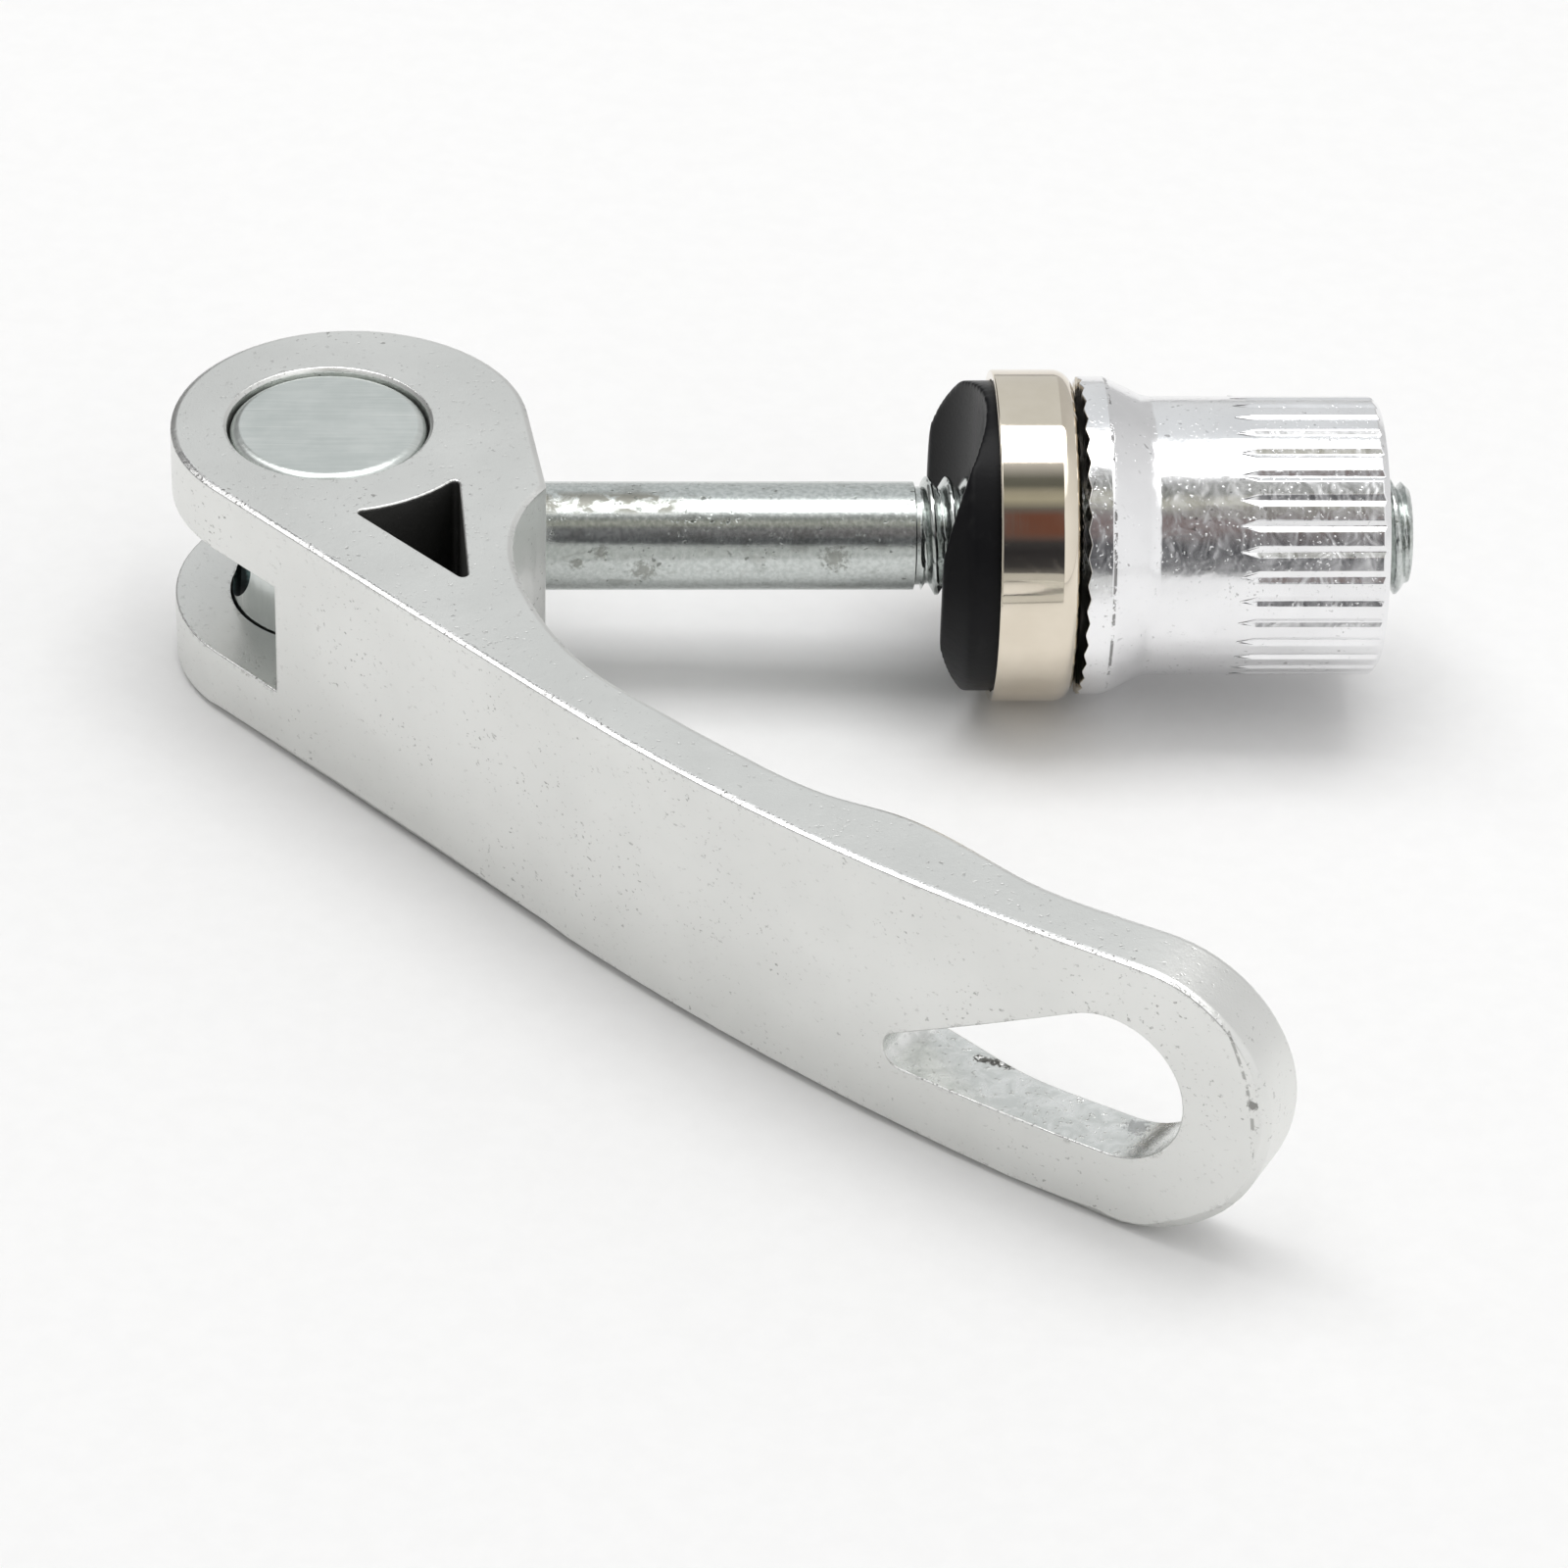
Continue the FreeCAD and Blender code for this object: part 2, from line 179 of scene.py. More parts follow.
class Wire:
    """A socket of a node tree. Sums on wires add Math nodes, and add() makes any other node."""

    def __init__(self, tree, socket=None):
        self.tree = tree
        self.socket = socket

    def add(self, kind, settings=None, sockets=None, output=0):
        node = self.tree.nodes.new(kind)
        for name, value in (settings or {}).items():
            if name == "stops":
                set_stops(node.color_ramp, value)
            else:
                setattr(node, name, value)
        for key, value in (sockets or {}).items():
            if isinstance(value, Wire):
                self.tree.links.new(value.socket, node.inputs[key])
            else:
                node.inputs[key].default_value = value
        return Wire(self.tree, node.outputs[output] if len(node.outputs) else None)

    def sibling(self, output):
        return Wire(self.tree, self.socket.node.outputs[output])

    def maths(self, operation, *values):
        return self.add("ShaderNodeMath", {"operation": operation}, dict(enumerate(values)))

    def __add__(self, other):
        return self.maths("ADD", self, other)

    def __radd__(self, other):
        return self.maths("ADD", other, self)

    def __sub__(self, other):
        return self.maths("SUBTRACT", self, other)

    def __rsub__(self, other):
        return self.maths("SUBTRACT", other, self)

    def __mul__(self, other):
        return self.maths("MULTIPLY", self, other)

    def __rmul__(self, other):
        return self.maths("MULTIPLY", other, self)

    def __truediv__(self, other):
        return self.maths("DIVIDE", self, other)

    def __abs__(self):
        return self.maths("ABSOLUTE", self)

    def __neg__(self):
        return self.maths("MULTIPLY", self, -1.0)

    def __lt__(self, other):
        return self.maths("LESS_THAN", self, other)

    def __gt__(self, other):
        return self.maths("GREATER_THAN", self, other)

    def least(self, other):
        return self.maths("MINIMUM", self, other)

    def most(self, other):
        return self.maths("MAXIMUM", self, other)

    def part_of_one(self):
        return self.maths("FRACT", self)

    def between(self, low, high):
        """0 below low, 1 above high, and a smooth step from one to the other."""
        settings = {"interpolation_type": "SMOOTHSTEP", "clamp": True}
        return self.add("ShaderNodeMapRange", settings, {"Value": self, "From Min": low, "From Max": high})

    def mix(self, first, second):
        """Colour from the first to the second as this wire goes from 0 to 1."""
        sockets = {0: self, 6: first, 7: second}
        return self.add("ShaderNodeMix", {"data_type": "RGBA"}, sockets, 2)

    def scaled(self, scale):
        """A place stretched on each axis, for patterns that run one way."""
        return self.add("ShaderNodeMapping", None, {"Vector": self, "Scale": scale})

    def noise(self, scale, detail=2.0, rough=0.5, distortion=0.0):
        sockets = {"Vector": self, "Scale": scale, "Detail": detail}
        sockets.update({"Roughness": rough, "Distortion": distortion})
        return self.add("ShaderNodeTexNoise", None, sockets)

    def specks(self, scale, size, share):
        """1 inside scattered round specks: their spacing, their size in it and the share kept."""
        sockets = {"Vector": self, "Scale": scale}
        away = self.add("ShaderNodeTexVoronoi", None, sockets)
        pick = away.sibling("Color").add("ShaderNodeSeparateColor", None, {0: away.sibling("Color")})
        return (pick > 1 - share) * (1 - away.between(size * 0.5, size))

    def shades(self, *stops):
        """Greys that follow this wire, given as pairs of a value and a shade."""
        greys = [(value, (shade, shade, shade)) for value, shade in stops]
        return self.add("ShaderNodeValToRGB", {"stops": greys}, {"Fac": self})

    def along(self, axis):
        return self.add("ShaderNodeSeparateXYZ", None, {0: self}, axis)

    def away_from(self, point):
        return self.add("ShaderNodeVectorMath", {"operation": "DISTANCE"}, {0: self, 1: point}, 1)


def set_stops(ramp, stops):
    while len(ramp.elements) < len(stops):
        ramp.elements.new(1.0)
    for element, (position, colour) in zip(ramp.elements, stops):
        element.position = position
        element.color = (*colour, 1)


def rgb(red, green, blue):
    return (red, green, blue, 1)


class Finish:
    """A material being made: the place on the piece, and its metal or plastic surface."""

    def __init__(self, name):
        self.material = bpy.data.materials.new(name)
        self.material.use_nodes = True
        self.tree = self.material.node_tree
        self.tree.nodes.clear()
        self.place = Wire(self.tree).add("ShaderNodeTexCoord", output="Object")

    def bump(self, height, distance, under=None):
        sockets = {"Height": height, "Distance": distance, "Strength": 1.0}
        if under:
            sockets["Normal"] = under
        return self.place.add("ShaderNodeBump", None, sockets)

    def edges(self, reach):
        """1 on the piece's edges, fading to 0 at a distance from them."""
        soft = self.place.add("ShaderNodeBevel", {"samples": 4}, {"Radius": reach})
        true = self.place.add("ShaderNodeNewGeometry", output="Normal")
        match = self.place.add("ShaderNodeVectorMath", {"operation": "DOT_PRODUCT"}, {0: soft, 1: true}, 1)
        return (1 - match).between(0.0, 0.12)

    def done(self, **sockets):
        named = {name.replace("_", " ").title(): value for name, value in sockets.items()}
        named = {name.replace("Ior", "IOR"): value for name, value in named.items()}
        surface = self.place.add("ShaderNodeBsdfPrincipled", None, named)
        self.place.add("ShaderNodeOutputMaterial", None, {"Surface": surface})
        return self.material


def window_well_shade(place):
    """1 on the walls of the lever's window, below its rim, where shade is painted."""
    east, north, height = (place.along(axis) for axis in "XYZ")
    inside = (HEAD_TOP - abs(height)).between(0.06 * MM, 0.20 * MM)
    for first, second in zip(WINDOW_CORNERS, WINDOW_CORNERS[1:] + WINDOW_CORNERS[:1]):
        side = (Vector(second) - Vector(first)).normalized()
        offset = (side.y * first[0] - side.x * first[1]) * MM
        inside = inside * (north * side.x - east * side.y + offset > -WINDOW_MARGIN)
    return inside


def ragged_spot(place, reach, *points, full=0.7):
    """1 near any of the points, up to the given part of the reach, with a torn outline."""
    nearest = place.away_from(points[0])
    for point in points[1:]:
        nearest = nearest.least(place.away_from(point))
    torn = (place.noise(4200, 3, 0.7) - 0.5) * (2.4 * reach)
    return 1 - (nearest + torn).between(full * reach, 1.1 * reach)


def tip_shade_line(place):
    """1 on a broken line of painted shade that follows the end of the lever's front face."""
    east, north, height = (place.along(axis) for axis in "XYZ")
    above = height - TIP_LINE_Z
    off_line = abs(east - TIP_LINE_X + above * above * TIP_LINE_BEND)
    in_reach = (north < TIP_FRONT_Y) * (height < TIP_LINE_TOP) * (height > TIP_LINE_FOOT)
    unbroken = place.noise(2100, 3, 0.6).between(0.46, 0.56)
    return (1 - off_line.between(0.04 * MM, 0.11 * MM)) * in_reach * unbroken


def tumbled_aluminium():
    """Lever faces: pale satin casting, finely pitted in patches and scuffed along its rims, with painted
    shade in the window's walls and along the end of the front face.
    """
    finish = Finish("tumbled aluminium")
    place = finish.place
    cloud = place.noise(140, 3)
    grain = place.noise(9000, 2, 0.6)
    peel = place.noise(1500, 2)
    patches = place.noise(260, 3, 0.6, 0.5).between(0.48, 0.66)
    pits = place.scaled((3300, 3300, 4400)).noise(1.0, 2, 0.6).between(0.62, 0.72)
    scuffs = place.noise(3600, 3, 0.65).between(0.52, 0.60) * place.noise(420, 2).between(0.42, 0.56)
    well_shade = window_well_shade(place)
    dark = (pits * (0.14 + patches * 0.5) + scuffs * finish.edges(RIM_WEAR) * 0.7).least(0.8)
    # Painted shade: a broken dark line beside the rim at the lever's tip
    dark = dark.most(tip_shade_line(place) * 0.6).most(ragged_spot(place, 0.28 * MM, TIP_SPECK_AT) * 0.85)
    pale = cloud.between(0.3, 0.7).mix(rgb(0.745, 0.75, 0.73), rgb(0.80, 0.805, 0.785))
    colour = dark.mix(pale, rgb(0.20, 0.195, 0.185))
    # Painted shade: the window's walls are darkened to stand in for the shade deep in the window
    colour = well_shade.mix(colour, rgb(0.14, 0.14, 0.135))
    roughness = 0.30 + (grain - 0.5) * 0.18 + cloud * 0.08 + well_shade * 0.25
    height = finish.bump(peel, 0.012 * MM)
    height = finish.bump(grain, 0.007 * MM, height)
    height = finish.bump(1 - pits, 0.007 * MM, height)
    return finish.done(base_color=colour, metallic=1.0, roughness=roughness, normal=height)


def rough_wall():
    """Walls of the finger hole: left as cast, crinkled, with glints and one torn place at the far edge."""
    finish = Finish("rough cast wall")
    place = finish.place
    crinkle = place.noise(1000, 4, 0.62, 0.7)
    glints = place.noise(3600, 2, 0.6)
    steps = [FLAW_START.lerp(FLAW_END, step / 4) for step in range(5)]
    flaw = ragged_spot(place, 0.27 * MM, *steps)
    # A dark blotch on the wall at the hole's right end
    dark_patch = ragged_spot(place, 0.6 * MM, HOLE_BLOTCH_AT)
    grey = crinkle.between(0.35, 0.65).mix(rgb(0.73, 0.745, 0.725), rgb(0.87, 0.88, 0.865))
    torn = glints.between(0.50, 0.58).mix(rgb(0.14, 0.14, 0.13), rgb(0.85, 0.85, 0.84))
    colour = flaw.mix((dark_patch * 0.5).mix(grey, rgb(0.24, 0.24, 0.24)), torn)
    roughness = 0.20 + crinkle * 0.12
    height = finish.bump(crinkle, 0.03 * MM)
    height = finish.bump(glints.between(0.62, 0.72), 0.022 * MM, height)
    height = finish.bump(flaw * glints, 0.12 * MM, height)
    return finish.done(base_color=colour, metallic=1.0, roughness=roughness, normal=height)


def rubbed_edge():
    """Rounded rims of the lever: tumbled bright and dented, with dirt left in the dents."""
    finish = Finish("rubbed edge")
    place = finish.place
    dents = place.noise(2300, 2, 0.6)
    chips = place.noise(6200, 2, 0.6)
    patches = place.noise(300, 2)
    dull = patches.between(0.46, 0.60)
    dirt = chips.between(0.55, 0.64) * (0.30 + dull * 0.6)
    colour = dirt.mix(rgb(0.88, 0.88, 0.87), rgb(0.17, 0.165, 0.16))
    roughness = 0.19 + dull * 0.10 + chips * 0.06
    height = finish.bump(dents, 0.020 * MM)
    height = finish.bump(chips, 0.014 * MM, height)
    return finish.done(base_color=colour, metallic=1.0, roughness=roughness, normal=height)


def stained_zinc():
    """Bolt: bluish zinc plate with drawing lines, dull stains on top near the head and a few smudges."""
    finish = Finish("stained zinc")
    place = finish.place
    east, north, height = (place.along(axis) for axis in "XYZ")
    drawn = place.scaled((120, 4200, 4200)).noise(1.0, 2)
    fleck = place.noise(4200, 2, 0.6)
    blotch = place.scaled((560, 700, 700)).noise(1.0, 4, 0.6, 0.4)
    mottle = place.scaled((900, 1100, 1100)).noise(1.0, 4, 0.66, 0.4)
    ragged = east + (blotch - 0.5) * (5 * MM)
    past_head = east.between(STAIN_FROM_X, STAIN_FROM_X + 0.7 * MM)
    near_head = past_head * (1 - ragged.between(STAIN_TO_X - 1.5 * MM, STAIN_TO_X))
    in_front = 1 - north.between(STAIN_TO_Y - 0.6 * MM, STAIN_TO_Y)
    on_top = height.between(STAIN_FROM_Z, STAIN_FROM_Z + 0.3 * MM) * in_front
    dark_patch = mottle.between(0.40, 0.56) * near_head * on_top
    smudges = [ragged_spot(place, reach, spot, full=SMUDGE_FULL) for spot, reach in SMUDGES]
    smudged = smudges[0]
    for smudge in smudges[1:]:
        smudged = smudged.most(smudge)
    pits = place.noise(3600, 1).between(0.66, 0.72) * blotch.between(0.46, 0.60)
    clean = fleck.between(0.3, 0.7).mix(rgb(0.50, 0.53, 0.515), rgb(0.63, 0.66, 0.645))
    colour = (blotch.between(0.54, 0.66) * 0.3).most(smudged * 0.6).mix(clean, rgb(0.20, 0.20, 0.175))
    colour = (dark_patch * 0.85).mix(colour, rgb(0.17, 0.165, 0.14))
    colour = (pits * 0.7).mix(colour, rgb(0.14, 0.15, 0.135))
    roughness = 0.16 + dark_patch * 0.22 + smudged * 0.1 + fleck * 0.06 + drawn * 0.04
    bumps = finish.bump(drawn, 0.003 * MM)
    bumps = finish.bump(fleck, 0.002 * MM, bumps)
    bumps = finish.bump(1 - pits, 0.01 * MM, bumps)
    return finish.done(base_color=colour, metallic=1.0, roughness=roughness, normal=bumps)


def tapped_hole_shade():
    """Thread in the barrel's open end: painted dark for the shade deep in the hole, bluish where the plate
    shows.
    """
    finish = Finish("tapped hole")
    place = finish.place
    turns = abs((place.along("X") / PITCH).part_of_one() * 2 - 1)
    cloud = place.noise(1200, 3, 0.6)
    # Painted shade: the wall is near black to stand in for the shade inside the hole
    colour = (turns * cloud).between(0.15, 0.5).mix(rgb(0.015, 0.02, 0.02), rgb(0.10, 0.15, 0.15))
    height = finish.bump(turns, 0.15 * MM)
    return finish.done(base_color=colour, metallic=1.0, roughness=0.3 + cloud * 0.2, normal=height)


def brushed_zinc():
    """Barrel: zinc plate over a face that was brushed along the bolt."""
    finish = Finish("brushed zinc")
    place = finish.place
    strokes = place.scaled((220, 4800, 500)).noise(1.0, 3, 0.6)
    cloud = place.noise(380, 3, 0.6)
    scratch = place.scaled((90, 5200, 300)).noise(1.0, 2).between(0.66, 0.74)
    side = (HEAD_TOP - abs(place.along("Z"))).between(0.35 * MM, 0.45 * MM)
    base = (cloud * 0.6 + strokes * 0.4).between(0.3, 0.7).mix(rgb(0.60, 0.64, 0.62), rgb(0.72, 0.75, 0.73))
    colour = (scratch * 0.6).mix(base, rgb(0.88, 0.89, 0.87))
    roughness = 0.30 + (strokes - 0.5) * 0.14 + cloud * 0.06 - side * 0.15
    height = finish.bump(strokes * (1 - side), 0.008 * MM)
    return finish.done(base_color=colour, metallic=1.0, roughness=roughness, normal=height)


def satin_black():
    """Cam seat: moulded black plastic, satin, with faint scuffs and dust."""
    finish = Finish("satin black plastic")
    place = finish.place
    scuff = place.scaled((900, 900, 300)).noise(1.0, 3, 0.6).between(0.56, 0.74)
    grain = place.noise(6000, 2)
    dust = place.specks(1700, 0.20, 0.05)
    colour = (scuff * 0.35).mix(rgb(0.006, 0.006, 0.007), rgb(0.020, 0.020, 0.020))
    colour = (dust * 0.4).mix(colour, rgb(0.12, 0.12, 0.115))
    roughness = 0.34 + scuff * 0.12 + (grain - 0.5) * 0.10
    height = finish.bump(grain, 0.006 * MM)
    return finish.done(
        base_color=colour, metallic=0.0, roughness=roughness, normal=height, specular_ior_level=0.13)


def warm_nickel():
    """Cup: polished nickel plate with a warm tint and faint handling marks."""
    finish = Finish("warm nickel")
    place = finish.place
    cloud = place.noise(260, 3, 0.6)
    rings = place.scaled((5200, 120, 120)).noise(1.0, 2)
    smear = place.noise(700, 4, 0.65, 1.0).between(0.55, 0.75)
    colour = cloud.between(0.3, 0.7).mix(rgb(0.73, 0.66, 0.55), rgb(0.79, 0.72, 0.61))
    roughness = 0.05 + smear * 0.07 + cloud * 0.03
    height = finish.bump(rings, 0.0006 * MM)
    return finish.done(base_color=colour, metallic=1.0, roughness=roughness, normal=height)


def turned_aluminium():
    """Nut: turned and tumbled aluminium, bright and crinkled, with pits along its flange's edge."""
    finish = Finish("turned aluminium")
    place = finish.place
    crinkle = place.noise(900, 2, 0.5, 0.4)
    sparkle = place.noise(4600, 2, 0.6)
    cloud = place.noise(300, 2)
    pits = place.noise(3300, 1).between(0.68, 0.74) * cloud.between(0.42, 0.60)
    off_edge = abs(place.along("X") - FLANGE_EDGE_X)
    gaps = place.noise(1500, 3, 0.7)
    ring = (1 - off_edge.between(0.04 * MM, 0.11 * MM)) * gaps.between(0.47, 0.55)
    clean = cloud.between(0.35, 0.65).mix(rgb(0.86, 0.86, 0.87), rgb(0.91, 0.91, 0.92))
    colour = (pits * 0.5 + ring * 0.85).least(0.9).mix(clean, rgb(0.17, 0.165, 0.16))
    roughness = 0.11 + sparkle * 0.06 + cloud * 0.04
    height = finish.bump(crinkle, 0.022 * MM)
    height = finish.bump(sparkle.between(0.64, 0.76), 0.014 * MM, height)
    height = finish.bump(1 - ring, 0.02 * MM, height)
    return finish.done(base_color=colour, metallic=1.0, roughness=roughness, normal=height)


def white_paper():
    """Floor: matt white paper with a barely seen fibre."""
    finish = Finish("white paper")
    fibre = finish.place.noise(700, 4, 0.6)
    colour = fibre.between(0.3, 0.7).mix(rgb(0.860, 0.857, 0.854), rgb(0.875, 0.872, 0.869))
    height = finish.bump(fibre, 0.01 * MM)
    return finish.done(base_color=colour, roughness=0.85, normal=height)


def plain_mesh(node, name):
    """A merged copy of a CAD node, with its flat faces whole again."""
    source = frame["nodes"][node].data
    mesh = bpy.data.meshes.new(name)
    corners = [v.co for v in source.vertices]
    mesh.from_pydata(corners, [], [p.vertices[:] for p in source.polygons])
    shape = bmesh.new()
    shape.from_mesh(mesh)
    bmesh.ops.remove_doubles(shape, verts=shape.verts, dist=MERGE)
    bmesh.ops.dissolve_degenerate(shape, dist=MERGE, edges=shape.edges)
    bmesh.ops.dissolve_limit(shape, angle_limit=FLAT_BEND, verts=shape.verts, edges=shape.edges)
    return mesh, shape


def bend_at(edge):
    """Degrees between the two faces that meet at an edge."""
    if len(edge.link_faces) != 2:
        return 0.0
    return degrees(edge.calc_face_angle(0.0))


def settle(piece, node):
    """Puts a finished piece in the CAD node's place."""
    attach(piece, frame["nodes"][node]["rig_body"])
    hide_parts(node)


def evaluated(piece):
    """Plain mesh of a piece once its modifiers have run, with the modifiers taken off."""
    bpy.context.view_layer.update()
    graph = bpy.context.evaluated_depsgraph_get()
    mesh = bpy.data.meshes.new_from_object(piece.evaluated_get(graph))
    piece.modifiers.clear()
    piece.data = mesh
    return piece


def drilled(shape, name):
    """Opens the barrel's blind seat to its far side, in line with the bolt."""
    depth = TAPPED_TO - TAPPED_FROM
    lying = Matrix.Translation((TAPPED_FROM + depth / 2, 0, 0)) @ Matrix.Rotation(pi / 2, 4, "Y")
    drill_shape = bmesh.new()
    bmesh.ops.create_cone(
        drill_shape,
        cap_ends=True,
        segments=DRILL_STEPS,
        radius1=TAPPED_R,
        radius2=TAPPED_R,
        depth=depth,
        matrix=lying,
    )
    pair = []
    for role, body in (("drilled", shape), ("drill", drill_shape)):
        mesh = bpy.data.meshes.new(name + "_" + role)
        body.to_mesh(mesh)
        body.free()
        pair.append(bpy.data.objects.new(mesh.name, mesh))
        bpy.context.scene.collection.objects.link(pair[-1])
    cut = pair[0].modifiers.new("drilling", "BOOLEAN")
    cut.object = pair[1]
    cut.solver = "EXACT"
    result = bmesh.new()
    result.from_mesh(evaluated(pair[0]).data)
    for done in pair:
        bpy.data.objects.remove(done)
    return result


def mend_shading(piece):
    """Turns back the shading of any corner that the rounding left leaning far from its face."""
    mesh = piece.data
    shading = [corner.vector.copy() for corner in mesh.corner_normals]
    for face in mesh.polygons:
        for corner in face.loop_indices:
            if shading[corner].dot(face.normal) < STRAY_SHADING:
                shading[corner] = face.normal.copy()
    mesh.normals_split_custom_set(shading)


def rounded(node, name, width, share, finishes, finish_of=None, turned=False, prepare=None):
    """A CAD node with rounded edges. share(edge) gives each edge its part of the width.

    The second finish, where there is one, is that of the rounded edges, and finish_of(face) tells
    the other faces' place in the list. A turned piece keeps its cylinders straight to their ends.
    prepare(shape, name) reshapes the merged copy before its edges are rounded.
    """
    mesh, shape = plain_mesh(node, name)
    if prepare:
        shape = prepare(shape, name)
    weight = shape.edges.layers.float.new("bevel_weight_edge")
    for edge in shape.edges:
        edge[weight] = share(edge)
    for face in shape.faces:
        face.smooth = True
        face.material_index = finish_of(face) if finish_of else 0
    shape.to_mesh(mesh)
    shape.free()
    for finish in finishes:
        mesh.materials.append(finish)
    piece = bpy.data.objects.new(name, mesh)
    bpy.context.scene.collection.objects.link(piece)
    rounding = piece.modifiers.new("rounding", "BEVEL")
    rounding.limit_method = "WEIGHT"
    rounding.width = width
    rounding.segments = ROUND_STEPS
    rounding.use_clamp_overlap = False
    rounding.loop_slide = False
    rounding.harden_normals = True
    rounding.material = min(1, len(finishes) - 1)
    if turned:
        shading = piece.modifiers.new("straight shading", "WEIGHTED_NORMAL")
        shading.weight = 100
    piece = evaluated(piece)
    mend_shading(piece)
    return piece


def moulded(node, name, finish):
    """A CAD node with every edge softened alike, as a moulding leaves a tool."""
    mesh, shape = plain_mesh(node, name)
    shape.to_mesh(mesh)
    shape.free()
    piece = bpy.data.objects.new(name, mesh)
    bpy.context.scene.collection.objects.link(piece)
    skin = piece.modifiers.new("even skin", "REMESH")
    skin.mode = "VOXEL"
    skin.voxel_size = SEAT_GRID
    skin.use_smooth_shade = True
    softening = piece.modifiers.new("softening", "SMOOTH")
    softening.factor = 0.5
    softening.iterations = SEAT_SOFTENING
    piece = evaluated(piece)
    piece.data.materials.clear()
    piece.data.materials.append(finish)
    return piece


def is_side(face):
    """True for the lever's upright faces, apart from the wall round its tip."""
    if face.calc_center_median().dot(TIP_AHEAD) > TIP_FROM:
        return abs(face.normal.dot(TIP_ACROSS)) > TIP_FLAT_LEAN
    return abs(face.normal.z) < UPRIGHT_LEAN


def is_rim(face):
    """True for the chamfer along the lever's rims."""
    low, high = RIM_LEAN
    middle = face.calc_center_median()
    lean = face.normal.dot(TIP_ACROSS) if middle.dot(TIP_AHEAD) > TIP_FROM else face.normal.z
    return middle.xy.length > BORE_REACH and low < abs(lean) < high


def flatter_rims(shape, name):
    """Lays the lever's upper chamfers flatter, and tags all rims and the edges where they meet a flat."""
    moves = {}
    least, most = RIM_BEND
    for face in filter(is_rim, shape.faces):
        for edge in face.edges:
            if not least < bend_at(edge) < most:
                continue
            other = next(near for near in edge.link_faces if near is not face)
            away = face.normal - other.normal * face.normal.dot(other.normal)
            away.normalize()
            face.tag = True
            edge.tag = not is_side(other)
            shift = away * (RIM_SPREAD * other.normal.z if edge.tag else RIM_LIFT * away.z)
            for vertex in edge.verts:
                moves.setdefault(vertex, []).append(shift if max(other.normal.z, away.z) > 0 else Vector())
    for vertex, shifts in moves.items():
        vertex.co += sum(shifts, Vector()) / len(shifts)
    shape.normal_update()
    return shape


def lever_share(edge):
    """Edges round a little, the upright side of the rims less and the bore hardly."""
    middle = (edge.verts[0].co + edge.verts[1].co) / 2
    beside_rim = sum(face.tag for face in edge.link_faces) == 1
    if beside_rim and (edge.tag or bend_at(edge) > RIM_BEND[0]):
        return 1.0 if edge.tag else SIDE_ROUND / CUT_ROUND
    if bend_at(edge) < CUT_BEND:
        return 0.0
    return BORE_ROUND / CUT_ROUND if middle.xy.length < BORE_REACH else 1.0


def lever_finish(face):
    """The rims take the second finish and the walls of the finger hole the third."""
    if face.tag:
        return 1
    middle = face.calc_center_median()
    in_hole = HOLE_FROM < middle.dot(TIP_AHEAD) < HOLE_TO and abs(middle.z) < HOLE_HALF
    return 2 if in_hole and abs(face.normal.dot(TIP_ACROSS)) < 0.5 else 0


def barrel_finish(face):
    """The tapped wall takes the third finish."""
    middle = face.calc_center_median()
    faces_bolt = middle.yz.dot(face.normal.yz) < 0
    return 2 if middle.x < TAPPED_TO and middle.yz.length < TAPPED_EDGE_R and faces_bolt else 0


def bright_rims_only(piece):
    """Leaves the second finish on the rims that a hand rubs, up and in front, and the first on the rest."""
    for face in piece.data.polygons:
        flat = face.normal.xy
        in_front = -flat.dot(TIP_ACROSS.xy) > FRONT_SHARE * flat.length
        if face.material_index == 1 and (face.normal.z < BRIGHT_LEAN or not in_front):
            face.material_index = 0


def sharp_share(edge):
    """Every sharp edge rounds by the whole width."""
    return 1.0 if bend_at(edge) > SHARP_BEND else 0.0


def barrel_share(edge):
    """The ends round, and the mouths of the hole for the bolt stay sharp."""
    across_bolt = [vertex.co.yz.length for vertex in edge.verts]
    if bend_at(edge) > SHARP_BEND and max(across_bolt) < TAPPED_EDGE_R:
        edge.smooth = False
        return 0.0
    return sharp_share(edge)


def nut_share(edge):
    """The neck rounds fully into the cone, the flange's edge less, and every other edge hardly."""
    first, second = (vertex.co.x for vertex in edge.verts)
    level = abs(first - second) < NUT_ROUND
    if level and abs(first - NECK_EDGE_X) < NUT_ROUND:
        return 1.0
    if level and abs(first - FLANGE_EDGE_X) < NUT_ROUND:
        return FLANGE_ROUND / NECK_ROUND
    return sharp_share(edge) * NUT_ROUND / NECK_ROUND


